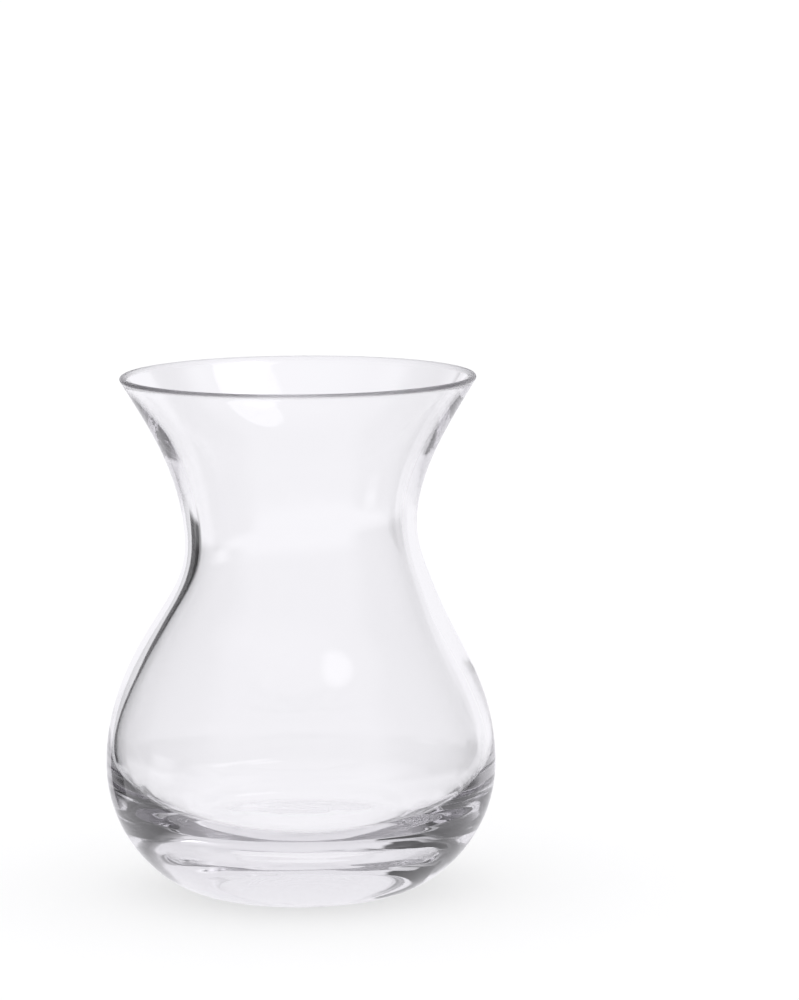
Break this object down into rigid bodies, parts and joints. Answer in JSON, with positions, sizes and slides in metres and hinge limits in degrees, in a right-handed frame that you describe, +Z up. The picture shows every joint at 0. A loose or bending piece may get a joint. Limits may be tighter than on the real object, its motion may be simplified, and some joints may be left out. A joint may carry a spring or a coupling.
{
  "type": "glass bud vase",
  "caption": "Small clear glass vase with a heavy rounded base, a drawn-in neck and a flared open mouth that holds a few flower stems upright.",
  "frame": {"origin": "middle of the resting ring, on the surface that the vase stands on", "axes": "+Z up along the vase's axis, from the base to the mouth; the vase is round, so +X and +Y are free"},
  "size_m": [0.1132, 0.1132, 0.15],
  "materials": {
    "clear_glass": "clear, fire-polished, faintly cool"
  },
  "bodies": {
    "root": {"glass_vase": "clear_glass"}
  },
  "joints": []
}
